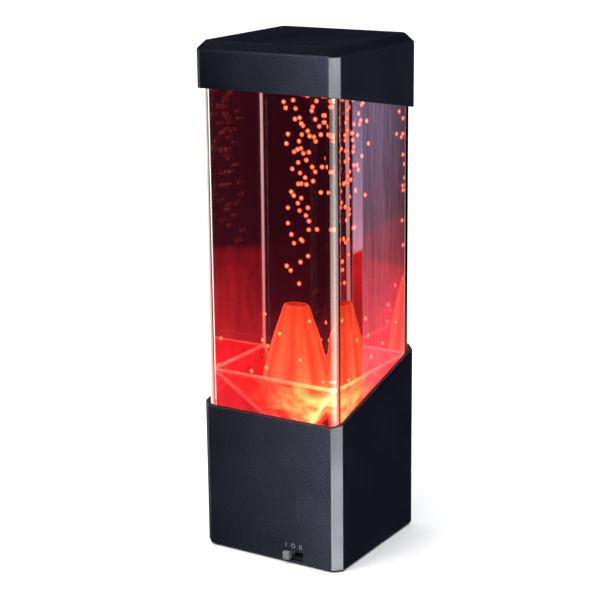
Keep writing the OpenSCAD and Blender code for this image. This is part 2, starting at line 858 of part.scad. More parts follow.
// Beads rise in a plume that widens and drifts as it climbs; every sixth strays further out
function spread(i, step) = i * step - floor(i * step);
function rising_place(i) =
    let (up = pow(spread(i, 0.618) * 0.99 + 0.005, 0.55),
         stray = i % 6 == 0 ? 1.6 : 1,
         r = 1.2 + (4.5 + 9 * up) * pow(spread(i * i, 0.6064), 0.6) * stray,
         a = 360 * spread(i * i, 0.8334))
    [r * cos(a) + 8 * up, r * sin(a) + 3 * up,
     crater_z + 5 + (water_top - crater_z - 8.5) * up];

// Beads that sink beside the cone
function sinking_place(i) =
    let (t = (i + 0.5) / sinking_count,
         z = cone_z + 6 + (cone_h - 10) * t,
         r = cone_foot_r + 3 - 10 * t + 4 * spread(i, 0.5698),
         a = 137.508 * (i + 0.4))
    [r * cos(a), r * sin(a), z];

// Beads that lie in the funnel's corners, in rows along each corner's valley
function bed_place(corner, row, side) =
    let (half = 13 + 1.7 * row,
         z = panel_z(half) + (bead_d / 2 + move_gap) * sqrt(1 + pow(funnel_slope, 2)))
    side < 0 ? [corner.x * (half - 3.1), corner.y * half, z]
    : side > 0 ? [corner.x * half, corner.y * (half - 3.1), z]
    : [corner.x * half, corner.y * half, z];

module rising_beads(grow = 0) {
    color(lava) for (i = [0 : rising_count - 1])
        translate(rising_place(i)) sphere(bead_d / 2 + grow, $fn = 24);
}

module sinking_beads(grow = 0) {
    color(lava) for (i = [0 : 1 : sinking_count - 1])
        translate(sinking_place(i)) sphere(bead_d / 2 + grow, $fn = 24);
    color(lava) for (corner = corners, row = [0 : 3], side = [-1 : 1])
        translate(bed_place(corner, row, side)) sphere(bead_d / 2 + grow, $fn = 24);
}

// ---------- lid and cap ----------

module lid_seal() {
    color([0.85, 0.85, 0.85]) translate([0, 0, tank_top]) linear_extrude(seal_t) difference() {
        round_square(tank_w, tank_r);
        round_square(tank_in, tank_in_r);
    }
}

module tank_lid() {
    spigot_w = tank_in - 2 * fit_gap;
    color([0.2, 0.2, 0.21]) difference() {
        union() {
            translate([0, 0, lid_z]) linear_extrude(lid_t) round_square(tank_w, tank_r);
            translate([0, 0, tank_top - 3]) linear_extrude(3 + seal_t) difference() {
                round_square(spigot_w, tank_in_r);
                round_square(spigot_w - 4, tank_in_r);
            }
        }
        translate([0, 0, tank_top]) cylinder(r = filler_r, h = 10);
    }
}

module filler_plug() {
    color([0.3, 0.3, 0.3]) {
        translate([0, 0, lid_z - 1.4]) cylinder(r = filler_r - 0.1, h = lid_t + 1.4);
        translate([0, 0, lid_top]) cylinder(r = filler_r + 2, h = 2);
    }
}

module top_cap() {
    pocket_w = tank_w + 2 * move_gap;
    color(black) {
        difference() {
            intersection() {
                translate([0, 0, cap_front_z - 20])
                    linear_extrude(cap_top - cap_front_z + 20) cut_square(cap_w, corner_cut);
                cap_bevel(0);
                cap_bevel(90);
                cap_bevel(45);
            }
            mirror([0, 0, 1]) above_plane(-cap_w / 2, -cap_front_z, cap_angle);
            translate([0, 0, cap_front_z - 21])
                linear_extrude(cap_roof - cap_front_z + 21) round_square(pocket_w, tank_r + move_gap);
        }
        // posts that stand on the lid
        for (c = corners)
            translate([c.x * 30, c.y * 30, lid_top + move_gap])
                cylinder(r = 2.5, h = cap_roof - lid_top);
    }
}

// Prism that bevels two opposite edges of the cap's top, or two pairs of its corners
module cap_bevel(turn) {
    half = turn == 45 ? (cap_w - corner_cut) / sqrt(2) : cap_w / 2;
    flat = half - corner_cut;
    low = -50;
    outline = [
        [-half, low], [half, low], [half, 0], [flat, cap_chamfer_h],
        [-flat, cap_chamfer_h], [-half, 0]
    ];
    intersection() {
        translate([0, 0, shoulder_z]) rotate([90, 0, turn])
            linear_extrude(3 * half, center = true) polygon(outline);
        if (turn == 45)
            translate([0, 0, shoulder_z]) rotate([90, 0, -turn])
                linear_extrude(3 * half, center = true) polygon(outline);
    }
}

base_housing();
bottom_cover();
battery_door();
cover_screws();
foot(0);  // foot_1
foot(1);  // foot_2
foot(2);  // foot_3
foot(3);  // foot_4
battery_cell(0);  // battery_cell_1
battery_cell(1);  // battery_cell_2
battery_cell(2);  // battery_cell_3
battery_springs();
battery_plates();
switch_body();
switch_knob();
switch_pins();
control_board();
control_chip();
capacitor();
dc_inlet();
inlet_pin();
battery_leads();
motor_leads();
led_leads();
motor_bracket();
motor_case();
motor_end_cap();
field_magnets();
motor_terminals();
bracket_screws();
motor_armature();
motor_shaft();
magnet_carrier();
drive_magnet(0);  // drive_magnet_1
drive_magnet(1);  // drive_magnet_2
led_board();
board_screws();
led(0);  // led_1
led(1);  // led_2
led(2);  // led_3
led(3);  // led_4
tank_pad();
tank();
pump_housing();
impeller_axle();
impeller();
impeller_magnet(0);  // impeller_magnet_1
impeller_magnet(1);  // impeller_magnet_2
riser_tube();
funnel();
volcano_cone();
water_fill();
rising_beads();
sinking_beads();
lid_seal();
tank_lid();
filler_plug();
top_cap();
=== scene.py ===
"""Volcano bead lamp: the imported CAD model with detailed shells, clear parts, water, cone and beads.

Lengths are metres in the CAD frame: +Z up, the switch faces -Y. Places come from the CAD nodes' boxes.
"""

import json
import math

import bmesh
import bpy
from mathutils import Matrix, Vector, noise


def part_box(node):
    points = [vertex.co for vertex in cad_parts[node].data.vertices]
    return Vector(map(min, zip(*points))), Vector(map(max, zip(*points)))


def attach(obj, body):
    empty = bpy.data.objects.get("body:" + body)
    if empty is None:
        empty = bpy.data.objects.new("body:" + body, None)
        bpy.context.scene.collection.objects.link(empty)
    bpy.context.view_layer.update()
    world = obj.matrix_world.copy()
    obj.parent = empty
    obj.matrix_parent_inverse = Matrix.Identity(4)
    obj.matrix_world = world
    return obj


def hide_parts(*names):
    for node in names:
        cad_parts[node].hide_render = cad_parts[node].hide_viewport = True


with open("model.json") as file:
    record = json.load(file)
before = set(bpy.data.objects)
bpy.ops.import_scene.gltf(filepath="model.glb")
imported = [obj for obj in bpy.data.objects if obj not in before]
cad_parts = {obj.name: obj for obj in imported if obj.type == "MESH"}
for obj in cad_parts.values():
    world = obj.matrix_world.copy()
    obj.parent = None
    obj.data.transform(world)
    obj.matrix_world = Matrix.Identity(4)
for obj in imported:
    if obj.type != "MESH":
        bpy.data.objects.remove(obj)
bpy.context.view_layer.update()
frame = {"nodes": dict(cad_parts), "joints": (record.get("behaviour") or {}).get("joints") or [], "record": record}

MM = 0.001
TAU = 2 * math.pi
NODES = frame["nodes"]
scene = bpy.context.scene

SAME_PLACE = 2e-6              # vertices of a CAD mesh that are closer than this are one
SOFT_EDGE = 0.2 * MM           # half the width over which a material changes to the next area
CORNER_CUT = 4.8 * MM          # how much the shells' corner cuts take off |x| + |y| of a square
ARC_STEPS = 10                 # pieces in the quarter arc of a round corner
CORNER_POINTS = ARC_STEPS + 3  # points of a round corner: the arc's and one beside each of its ends
GRAIN_DEPTH = 0.06 * MM        # relief of the moulded plastic's grain
IN_CRATER = 2.0                # stored value fold on the cone's inside; outside it is about 0 to 1
STAGE_RADIUS = 6.0


# ---------- material helpers ----------

class Nodes:
    """A material's node tree with short ways to add and link nodes."""

    def __init__(self, name):
        self.material = bpy.data.materials.new(name)
        self.material.use_nodes = True
        self.tree = self.material.node_tree
        self.shader = self.tree.nodes["Principled BSDF"]
        self.output = self.tree.nodes["Material Output"]
        self.place = self.add("ShaderNodeTexCoord").outputs["Object"]

    def add(self, kind, **settings):
        node = self.tree.nodes.new(kind)
        for key, value in settings.items():
            setattr(node, key, value)
        return node

    def link(self, source, target):
        self.tree.links.new(source, target)

    def put(self, **values):
        """Sets plain values on the shader's own sockets; an underscore in a name stands for a space."""
        for key, value in values.items():
            self.shader.inputs[key.replace("_", " ")].default_value = value

    def noise(self, per_metre, detail=3.0, stretch=(1, 1, 1), seed=0.0):
        """Noise with about per_metre spots a metre, denser along an axis with a larger stretch."""
        mapping = self.add("ShaderNodeMapping")
        mapping.inputs["Scale"].default_value = [per_metre * s for s in stretch]
        mapping.inputs["Location"].default_value = (seed, seed * 0.7, seed * 1.3)
        self.link(self.place, mapping.inputs["Vector"])
        texture = self.add("ShaderNodeTexNoise")
        texture.inputs["Scale"].default_value = 1.0
        texture.inputs["Detail"].default_value = detail
        texture.inputs["Roughness"].default_value = 0.55
        self.link(mapping.outputs["Vector"], texture.inputs["Vector"])
        return texture.outputs["Fac"]

    def ramp(self, source, stops):
        """Colour ramp; stops are (position, colour) pairs."""
        node = self.add("ShaderNodeValToRGB")
        elements = node.color_ramp.elements
        for _ in range(len(stops) - 2):
            elements.new(0.5)
        for element, (position, colour) in zip(elements, stops):
            element.position = position
            element.color = (*colour, 1.0)
        self.link(source, node.inputs["Fac"])
        return node.outputs["Color"]

    def span(self, source, low, high, to_low=0.0, to_high=1.0):
        """Maps source from low..high to to_low..to_high, held at the ends."""
        node = self.add("ShaderNodeMapRange")
        for key, value in (("From Min", low), ("From Max", high), ("To Min", to_low), ("To Max", to_high)):
            node.inputs[key].default_value = value
        self.link(source, node.inputs["Value"])
        return node.outputs["Result"]

    def maths(self, operation, a, b):
        """The result of a maths operation on two outputs or plain numbers."""
        node = self.add("ShaderNodeMath", operation=operation)
        for socket, value in zip(node.inputs, (a, b)):
            if isinstance(value, (int, float)):
                socket.default_value = value
            else:
                self.link(value, socket)
        return node.outputs["Value"]

    def times(self, first, *others):
        for other in others:
            first = self.maths("MULTIPLY", first, other)
        return first

    def plus(self, first, *others):
        for other in others:
            first = self.maths("ADD", first, other)
        return first

    def axis(self, letter):
        """The place along one axis, in metres."""
        node = self.add("ShaderNodeSeparateXYZ")
        self.link(self.place, node.inputs["Vector"])
        return node.outputs[letter]

    def past(self, letter, limit, soft=SOFT_EDGE):
        """1 where the place along an axis is above limit, 0 below it."""
        return self.span(self.axis(letter), limit - soft, limit + soft)

    def short_of(self, letter, limit, soft=SOFT_EDGE):
        """1 where the place along an axis is below limit, 0 above it."""
        return self.span(self.axis(letter), limit - soft, limit + soft, 1.0, 0.0)

    def corner(self):
        """|x| + |y|, which is largest along the upright corners."""
        return self.plus(self.maths("ABSOLUTE", self.axis("X"), 0.0),
                         self.maths("ABSOLUTE", self.axis("Y"), 0.0))

    def stored(self, name):
        """A value stored on the mesh."""
        return self.add("ShaderNodeAttribute", attribute_name=name).outputs["Fac"]

    def mix(self, factor, a, b):
        """Mixes two colour outputs or plain colours."""
        node = self.add("ShaderNodeMix", data_type="RGBA")
        self.link(factor, node.inputs["Factor"])
        for socket, value in zip((node.inputs[6], node.inputs[7]), (a, b)):
            if isinstance(value, tuple):
                socket.default_value = (*value, 1.0)
            else:
                self.link(value, socket)
        return node.outputs[2]

    def bump(self, height, strength, distance):
        """Relief without geometry; distance is its depth in metres."""
        node = self.add("ShaderNodeBump")
        node.inputs["Strength"].default_value = strength
        node.inputs["Distance"].default_value = distance
        self.link(height, node.inputs["Height"])
        self.link(node.outputs["Normal"], self.shader.inputs["Normal"])

    def colour(self, source):
        self.link(source, self.shader.inputs["Base Color"])

    def roughness(self, source):
        self.link(source, self.shader.inputs["Roughness"])

    def glow(self, source, strength):
        """Gives off light; strength is an output or a plain number."""
        self.link(source, self.shader.inputs["Emission Color"])
        if isinstance(strength, (int, float)):
            self.shader.inputs["Emission Strength"].default_value = strength
        else:
            self.link(strength, self.shader.inputs["Emission Strength"])

    def absorb(self, colour, density):
        """Darkens light with the distance it goes through the piece."""
        node = self.add("ShaderNodeVolumeAbsorption")
        node.inputs["Color"].default_value = (*colour, 1.0)
        node.inputs["Density"].default_value = density
        self.link(node.outputs["Volume"], self.output.inputs["Volume"])


def moulded(name, dark, light, rough=(0.38, 0.5)):
    """Fine-grained moulded plastic or rubber with a faint unevenness of colour and polish."""
    m = Nodes(name)
    fine = m.noise(2600, 2.0)
    broad = m.noise(60, seed=3.0)
    m.colour(m.ramp(m.plus(m.times(fine, 0.6), m.times(broad, 0.4)), [(0.35, dark), (0.68, light)]))
    m.roughness(m.span(broad, 0.3, 0.7, *rough))
    m.bump(fine, 0.35, GRAIN_DEPTH)
    return m.material


def shell_material():
    """Black grained plastic with a painted sheen where the front turns to the right corner, and painted shade on
    the cap's front.
    """
    m = Nodes("black_shell")
    half, cap_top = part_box("base_housing")[1].x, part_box("top_cap")[1].z
    wall = half - 0.6 * MM
    fine = m.noise(1500, 2.0)
    broad = m.noise(60, seed=3.0)
    wear = m.plus(m.times(fine, 0.8), m.times(broad, 0.2))
    dark = m.ramp(wear, [(0.36, (0.0008, 0.001, 0.0024)), (0.66, (0.0065, 0.0075, 0.0135))])
    pale = m.ramp(wear, [(0.36, (0.018, 0.0195, 0.032)), (0.66, (0.05, 0.054, 0.08))])
    # painted sheen on the front that grows to the right, weaker on the cap, and a faint one on the right side
    below_cap = m.span(m.axis("Z"), 200 * MM, 230 * MM, 1.0, 0.0)
    front = m.short_of("Y", -wall)
    turn = m.maths("POWER", m.span(m.axis("X"), -70 * MM, half), 2.5)
    side = m.times(m.past("X", wall), m.span(below_cap, 0.0, 1.0, 0.2, 0.04))
    sheen = m.plus(m.times(front, m.plus(turn, m.times(below_cap, 0.1))), side)
    # painted shade: the cap's front is darker
    cap_front = m.times(front, m.span(below_cap, 0.0, 1.0, 0.65, 0.0))
    m.colour(m.mix(sheen, m.mix(cap_front, dark, (0.0003, 0.0004, 0.001)), pale))
    # the corner cuts are glossier, and the cap's top is dull
    cut = 2 * half - CORNER_CUT
    gloss = m.times(m.span(m.corner(), cut - 0.1 * MM, cut + 0.1 * MM, 0.12, 0.6),
                    m.span(m.axis("Z"), cap_top - 4.4 * MM, cap_top - 4 * MM, 1.0, 0.12))
    m.link(gloss, m.shader.inputs["Specular IOR Level"])
    m.roughness(m.span(broad, 0.3, 0.7, 0.36, 0.46))
    m.bump(fine, 0.35, GRAIN_DEPTH)
    return m.material


def metal(name, colour, rough=(0.2, 0.38), stretch=(1, 1, 12)):
    """Drawn or stamped metal with fine lines and slight tarnish."""
    m = Nodes(name)
    m.put(Metallic=1.0)
    lines = m.noise(900, stretch=stretch)
    tarnish = m.noise(160, 4.0, seed=2.0)
    darker = tuple(c * 0.72 for c in colour)
    m.colour(m.ramp(tarnish, [(0.3, darker), (0.65, colour)]))
    m.roughness(m.span(lines, 0.3, 0.7, *rough))
    m.bump(lines, 0.2, 0.02 * MM)
    return m.material


def circuit_board():
    """Green solder mask with copper tracks showing through it."""
    m = Nodes("circuit_board")
    cells = m.add("ShaderNodeTexBrick")
    cells.inputs["Scale"].default_value = 260
    cells.inputs["Mortar Size"].default_value = 0.012
    m.link(m.place, cells.inputs["Vector"])
    tracks = cells.outputs["Fac"]
    m.colour(m.mix(tracks, (0.012, 0.09, 0.035), (0.03, 0.19, 0.07)))
    m.roughness(m.span(m.noise(500), 0.3, 0.7, 0.28, 0.45))
    m.bump(tracks, 0.4, 0.04 * MM)
    return m.material


def cell_jacket():
    """Printed sleeve of a cell: a dark body with a coppery band at one end."""
    m = Nodes("cell_jacket")
    m.put(Metallic=0.6)
    band = m.past("X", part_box("battery_cell_1")[1].x - 13.4 * MM)
    scuffs = m.noise(500, 4.0, stretch=(1, 6, 6))
    m.colour(m.mix(band, m.ramp(scuffs, [(0.3, (0.02, 0.021, 0.024)), (0.7, (0.05, 0.05, 0.056))]),
                   (0.5, 0.24, 0.1)))
    m.roughness(m.span(scuffs, 0.3, 0.7, 0.22, 0.4))
    return m.material


def clear_acrylic(name, tint, density, glow=None):
    """Clear moulded acrylic with faint flow lines; tint and density set how it darkens with depth."""
    m = Nodes(name)
    m.put(Transmission_Weight=1.0, IOR=1.49, Base_Color=(1.0, 1.0, 1.0, 1.0))
    flow = m.noise(220, stretch=(1, 1, 0.08))
    m.roughness(m.span(flow, 0.35, 0.75, 0.0, 0.012))
    m.bump(flow, 0.02, 0.2 * MM)
    m.absorb(tint, density)
    if glow:
        glow(m)
    return m.material


def wall_light(m):
    """Light that the tank's walls carry: red above the light board, near white along the round corners."""
    base_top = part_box("base_housing")[1].z
    fade = m.span(m.axis("Z"), base_top - 22 * MM, base_top + 30 * MM, 1.0, 0.0)
    arc = 2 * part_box("tank")[1].x - 3.5 * MM
    corner = m.span(m.corner(), arc - SOFT_EDGE, arc + SOFT_EDGE)
    warm = m.mix(m.span(m.axis("Z"), 90 * MM, 190 * MM), (1.0, 0.5, 0.36), (1.0, 0.95, 0.82))
    on_right = m.past("X", 0.0, 10 * MM)
    right_light = m.span(m.axis("Z"), 130 * MM, 210 * MM, 0.5, 0.16)
    left_light = 1.25
    bright = m.plus(m.times(on_right, right_light),
                    m.times(m.maths("SUBTRACT", 1.0, on_right), left_light))
    m.glow(m.mix(corner, (0.9, 0.03, 0.02), warm), m.plus(m.times(fade, 0.05), m.times(corner, bright)))


def water_walls(m):
    """Masks for the water's left, front and right sides, and for a painted highlight stripe on the right one.

    Close to the front corner the right side only mirrors the back one, so its mask starts behind there.
    """
    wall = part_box("water_fill")[1].x - 0.25 * MM
    soft = 0.15 * MM
    left = m.short_of("X", -wall, soft)
    front = m.short_of("Y", -wall, soft)
    right = m.times(m.past("X", wall, soft), m.past("Y", -19.3 * MM, 0.5 * MM))
    stripe = m.times(right, m.short_of("Y", -9.5 * MM, 1 * MM))
    return left, front, right, stripe


def water_material():
    """Clear water with a red tint; its walls carry red light up from the light board, and its right wall has a
    painted pale glow streaked like scratches.
    """
    m = Nodes("tinted_water")
    m.put(Transmission_Weight=1.0, IOR=1.33, Base_Color=(1.0, 1.0, 1.0, 1.0), Roughness=0.0)
    m.bump(m.noise(60, 2.0, stretch=(1, 1, 0.2)), 0.015, 0.2 * MM)
    m.absorb((0.6, 0.3, 0.4), 20.0)
    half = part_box("water_fill")[1].x
    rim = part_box("funnel")[1].z
    up = m.axis("Z")
    left, front, right, stripe = water_walls(m)
    stripe_foot = 158 * MM
    scratches = m.span(m.noise(700, 5.0, stretch=(1, 1, 0.04), seed=4.0), 0.3, 0.7, 0.55, 1.45)
    clouds = m.span(m.noise(70, stretch=(1, 1, 0.5), seed=6.0), 0.35, 0.65, 0.75, 1.25)
    # red light, up to a sloping line on the side walls, and under the funnel's rim at the front
    slope = m.span(m.axis("X"), -half, half, 0.124, 0.33)
    level = m.plus(up, m.times(m.axis("Y"), slope))
    wall_red = m.times(m.span(level, 148.5 * MM, 153 * MM, 1.0, 0.0),
                       m.span(up, 95 * MM, 160 * MM, 0.45, 0.13))
    walls = m.plus(left, m.maths("SUBTRACT", right, stripe))
    stripe_red = m.times(stripe, m.short_of("Z", stripe_foot, 1 * MM),
                         m.span(up, 125 * MM, stripe_foot, 0.0, 0.5))
    under_rim = m.times(front, m.short_of("Z", rim - 1.5 * MM, 1 * MM),
                        m.span(m.axis("X"), -30 * MM, 12 * MM, 0.36, 0.04), clouds)
    red = m.plus(m.times(walls, wall_red, clouds), stripe_red, under_rim)
    # painted pale glow on the right wall, streaked like scratches, with a painted highlight stripe above its foot
    lit = m.times(m.maths("POWER", m.span(up, 165 * MM, 235 * MM, 1.0, 0.3), 2.0), 0.45)
    right_wall_glow = m.times(right, scratches, m.span(m.axis("Y"), 10 * MM, 34 * MM, 0.18, 0.06))
    off_stripe = m.maths("SUBTRACT", 1.0, stripe)
    pale_glow = m.times(m.plus(right_wall_glow, m.times(stripe, lit)),
                   m.maths("MAXIMUM", m.past("Z", stripe_foot, 1 * MM), off_stripe))
    # a faint painted glow everywhere, stronger low down
    faint_glow = m.plus(m.times(m.maths("POWER", m.span(up, 70 * MM, 200 * MM, 1.0, 0.0), 2.0), 0.028), 0.016)
    pale = m.mix(m.span(up, 150 * MM, 210 * MM), (1.0, 0.36, 0.5), (0.8, 0.62, 1.0))
    plain = m.mix(m.span(pale_glow, 0.0, 0.02), (1.0, 0.12, 0.25), pale)
    total = m.plus(pale_glow, faint_glow, red)
    m.glow(m.mix(m.maths("DIVIDE", red, total), plain, (1.0, 0.012, 0.01)), total)
    return m.material


def glow_by_height(m, node, low_colour, mid_colour, high_colour):
    """Colour that changes up a node's height, with upright streaks."""
    lo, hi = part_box(node)
    up = m.span(m.axis("Z"), lo.z, hi.z)
    streaks = m.noise(150, 4.0, stretch=(1, 1, 0.18))
    mixed = m.plus(up, m.span(streaks, 0.3, 0.7, -0.13, 0.13))
    return m.ramp(mixed, [(0.0, low_colour), (0.45, mid_colour), (1.0, high_colour)])


def corner_light(m, reach):
    """1 at the yellow light low in the tank's front right corner, falling to 0 at reach metres from it."""
    lo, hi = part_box("funnel")
    inward = 0.72
    away = m.add("ShaderNodeVectorMath", operation="DISTANCE")
    away.inputs[1].default_value = (hi.x * inward, lo.y * inward, lo.z + 8 * MM)
    m.link(m.place, away.inputs[0])
    return m.span(away.outputs["Value"], 0.0, reach, 1.0, 0.0)


def cone_material():
    """Soft orange plastic, lit from inside and below, with painted shade in its folds and in its crater."""
    m = Nodes("volcano_plastic")
    m.put(Roughness=0.5, Subsurface_Weight=0.3, Subsurface_Radius=(6 * MM, 2 * MM, 1 * MM))
    body = glow_by_height(m, "volcano_cone", (1.0, 0.2, 0.085), (1.0, 0.17, 0.05), (1.0, 0.105, 0.02))
    lit = m.mix(corner_light(m, 35 * MM), body, (1.0, 0.5, 0.09))
    fold_depth = m.stored("fold")
    # painted shade: the colour darkens with the fold's depth, fully so in the crater
    folded = m.mix(m.span(fold_depth, 0.0, 1.0, 0.0, 0.8), lit, (0.85, 0.045, 0.008))
    specks = m.span(m.noise(420, 2.0, seed=8.0), 0.66, 0.7)
    m.colour(m.mix(specks, folded, (0.5, 0.05, 0.02)))
    lamp = m.span(m.noise(90, 4.0, stretch=(1, 1, 0.3)), 0.3, 0.7, 0.95, 1.35)
    # painted shade: the glow is half as strong inside the crater
    m.glow(m.mix(specks, folded, (0.6, 0.06, 0.02)),
           m.times(lamp, m.span(fold_depth, 1.2, IN_CRATER, 1.0, 0.5)))
    m.bump(m.noise(1400), 0.3, 0.1 * MM)
    return m.material


def funnel_material():
    """Clear red-lit funnel with painted highlights on its edges, scratches and a yellow light near the front
    corner.
    """
    m = Nodes("funnel_acrylic")
    m.put(Transmission_Weight=0.9, IOR=1.42)
    lo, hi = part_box("funnel")
    scratches = m.noise(420, 5.0, stretch=(1, 0.15, 0.6), seed=5.0)
    clouds = m.noise(130, 5.0, seed=1.0)
    near = m.plus(corner_light(m, 46 * MM), m.span(clouds, 0.3, 0.7, -0.2, 0.12))
    lit = m.ramp(near, [(0.0, (1.0, 0.008, 0.006)), (0.3, (1.0, 0.06, 0.02)), (0.75, (1.0, 0.6, 0.16))])
    edge = m.stored("edge")
    m.colour(m.ramp(clouds, [(0.3, (1.0, 0.25, 0.2)), (0.7, (1.0, 0.55, 0.5))]))
    m.roughness(m.span(scratches, 0.35, 0.7, 0.04, 0.3))
    body = m.times(m.span(clouds, 0.3, 0.7, 0.28, 0.8), m.span(m.axis("Z"), lo.z, hi.z, 1.0, 0.5),
                   m.span(near, 0.1, 0.7, 1.0, 2.2))
    # painted highlights: more and paler glow where the stored edge is 1
    m.glow(m.mix(m.times(edge, 0.4), lit, (1.0, 0.4, 0.3)), m.plus(body, m.times(edge, 0.85)))
    m.bump(scratches, 0.3, 0.2 * MM)
    return m.material


def bead_material(name, colour, strength, alpha):
    """Lit resin bead with a painted glow; the outer skin lets its glowing core, a painted highlight, show. Beads
    at rest in the funnel get a far weaker painted glow.
    """
    m = Nodes(name)
    m.put(Roughness=0.25, Alpha=alpha)
    mottled = m.noise(700, 2.0)
    lit = m.ramp(mottled, [(0.3, tuple(c * 0.75 for c in colour)), (0.7, colour)])
    m.colour(lit)
    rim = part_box("funnel")[1].z
    m.glow(lit, m.span(m.axis("Z"), rim - 12 * MM, rim - 8 * MM, 0.12 * strength, strength))
    m.bump(mottled, 0.2, 0.1 * MM)
    return m.material


def lens_material():
    """Lit orange lens with a grainy core."""
    m = Nodes("led_lens")
    m.put(Roughness=0.2, Transmission_Weight=0.4)
    core = m.noise(900, 2.0)
    lit = m.ramp(core, [(0.3, (1.0, 0.35, 0.1)), (0.7, (1.0, 0.55, 0.25))])
    m.colour(lit)
    m.glow(lit, 3.0)
    return m.material


# ---------- materials ----------

BLACK = shell_material()
FUNNEL = funnel_material()
# painted highlight: each bead's glowing core makes its centre look lighter
GLOWING_CORE = bead_material("bead_core", (1.0, 0.7, 0.42), strength=4.2, alpha=1.0)
PRINT = moulded("mark_print", (0.2, 0.205, 0.22), (0.3, 0.305, 0.33), rough=(0.5, 0.6))

FINISHES = {
    "black_shell": BLACK,
    "dark_rubber": moulded("dark_rubber", (0.012, 0.012, 0.013), (0.03, 0.03, 0.031), rough=(0.7, 0.85)),
    "steel": metal("steel", (0.62, 0.62, 0.64)),
    "cell_jacket": cell_jacket(),
    "grey_plastic": moulded("grey_plastic", (0.012, 0.012, 0.014), (0.03, 0.03, 0.033)),
    "knob_plastic": moulded("knob_plastic", (0.16, 0.165, 0.18), (0.24, 0.245, 0.265), rough=(0.4, 0.5)),
    "contact_brass": metal("contact_brass", (0.75, 0.55, 0.22)),
    "circuit_board": circuit_board(),
    "black_plastic": moulded("black_plastic", (0.01, 0.01, 0.011), (0.025, 0.025, 0.027)),
    "lead_insulation": moulded("lead_insulation", (0.3, 0.02, 0.02), (0.42, 0.03, 0.03), rough=(0.4, 0.55)),
    "magnet_ferrite": moulded("magnet_ferrite", (0.02, 0.02, 0.022), (0.06, 0.06, 0.062), rough=(0.5, 0.7)),
    "magnet_plated": metal("magnet_plated", (0.75, 0.75, 0.77), rough=(0.08, 0.2)),
    "copper_winding": metal("copper_winding", (0.72, 0.3, 0.12), stretch=(1, 1, 30)),
    "white_plastic": moulded("white_plastic", (0.6, 0.6, 0.61), (0.75, 0.75, 0.76)),
    "led_lens": lens_material(),
    "tank_acrylic": clear_acrylic("tank_acrylic", (0.94, 0.86, 0.9), density=12.0, glow=wall_light),
    "funnel_acrylic": clear_acrylic("pump_acrylic", (0.95, 0.6, 0.6), density=12.0),
    "volcano_plastic": cone_material(),
    "tinted_water": water_material(),
    "lava_bead": bead_material("bead_skin", (1.0, 0.165, 0.044), strength=1.5, alpha=0.66),
    "seal_rubber": moulded("seal_rubber", (0.45, 0.45, 0.45), (0.6, 0.6, 0.6), rough=(0.6, 0.75)),
    "dark_plastic": moulded("dark_plastic", (0.015, 0.015, 0.017), (0.03, 0.03, 0.033)),
}


def finish_cad_nodes():
    """Gives every CAD node its slot's finish."""
    for part in frame["record"]["subparts"]:
        node = NODES[part["node"]]
        node.data.materials.clear()
        node.data.materials.append(FINISHES[part["material_slot"]])
        for face in node.data.polygons:
            face.material_index = 0


# ---------- mesh helpers ----------

def new_piece(name, mesh, body, slot, material=None, smooth=35):
    """Links a finished mesh as a piece that rides on a body, with its slot's finish unless told otherwise."""
    piece = bpy.data.objects.new(name, mesh)
    scene.collection.objects.link(piece)
    mesh.materials.append(material or FINISHES[slot])
    mesh.polygons.foreach_set("use_smooth", [True] * len(mesh.polygons))
    mesh.set_sharp_from_angle(angle=math.radians(smooth))
    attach(piece, body)
    return piece


def to_mesh(name, bm):
    bmesh.ops.recalc_face_normals(bm, faces=bm.faces)
    mesh = bpy.data.meshes.new(name)
    bm.to_mesh(mesh)
    bm.free()
    return mesh


def store(mesh, name, values):
    """Stores one value a vertex on the mesh."""
    mesh.attributes.new(name, "FLOAT", "POINT").data.foreach_set("value", values)


def clean_copy(node):
    """A CAD node's mesh as a bmesh, with its flat faces whole again."""
    bm = bmesh.new()
    bm.from_mesh(NODES[node].data)
    bmesh.ops.remove_doubles(bm, verts=bm.verts, dist=SAME_PLACE)
    bmesh.ops.dissolve_limit(bm, angle_limit=math.radians(1), verts=bm.verts, edges=bm.edges)
    return bm


def bevel_edges(bm, width, segments, keep):
    """Rounds the sharp edges whose two vertices both pass keep(vertex)."""
    edges = [e for e in bm.edges
             if len(e.link_faces) == 2 and e.calc_face_angle(0.0) > math.radians(20)
             and all(keep(v) for v in e.verts)]
    bmesh.ops.bevel(bm, geom=edges, offset=width, offset_type="OFFSET", segments=segments, profile=0.5,
                    affect="EDGES", clamp_overlap=True)


def round_square(half, radius):
    """Corner points of a square with round corners, anticlockwise.

    A point on the side close to each arc's end keeps the shading of the sides flat.
    """
    points = []
    gap = min(0.3 * MM, (half - radius) / 2)
    for quarter in range(4):
        turn = TAU * quarter / 4 + TAU / 8
        centre = Vector((math.cos(turn), math.sin(turn))) * (half - radius) * math.sqrt(2)
        for step in range(-1, ARC_STEPS + 2):
            on_arc = min(max(step, 0), ARC_STEPS)
            angle = TAU * (quarter + on_arc / ARC_STEPS) / 4
            beside = gap * (step - on_arc)
            points.append((centre.x + radius * math.cos(angle) - beside * math.sin(angle),
                           centre.y + radius * math.sin(angle) + beside * math.cos(angle)))
    return points


def circle(radius, points):
    """Points of a circle about the origin, anticlockwise."""
    return [(radius * math.cos(TAU * i / points), radius * math.sin(TAU * i / points))
            for i in range(points)]


def ring(bm, outline, z):
    """Vertices of an outline at a height."""
    return [bm.verts.new((x, y, z)) for x, y in outline]


def join_rings(bm, low, high):
    """Faces between two closed rows of vertices."""
    for i in range(len(low)):
        j = (i + 1) % len(low)
        bm.faces.new((low[i], low[j], high[j], high[i]))


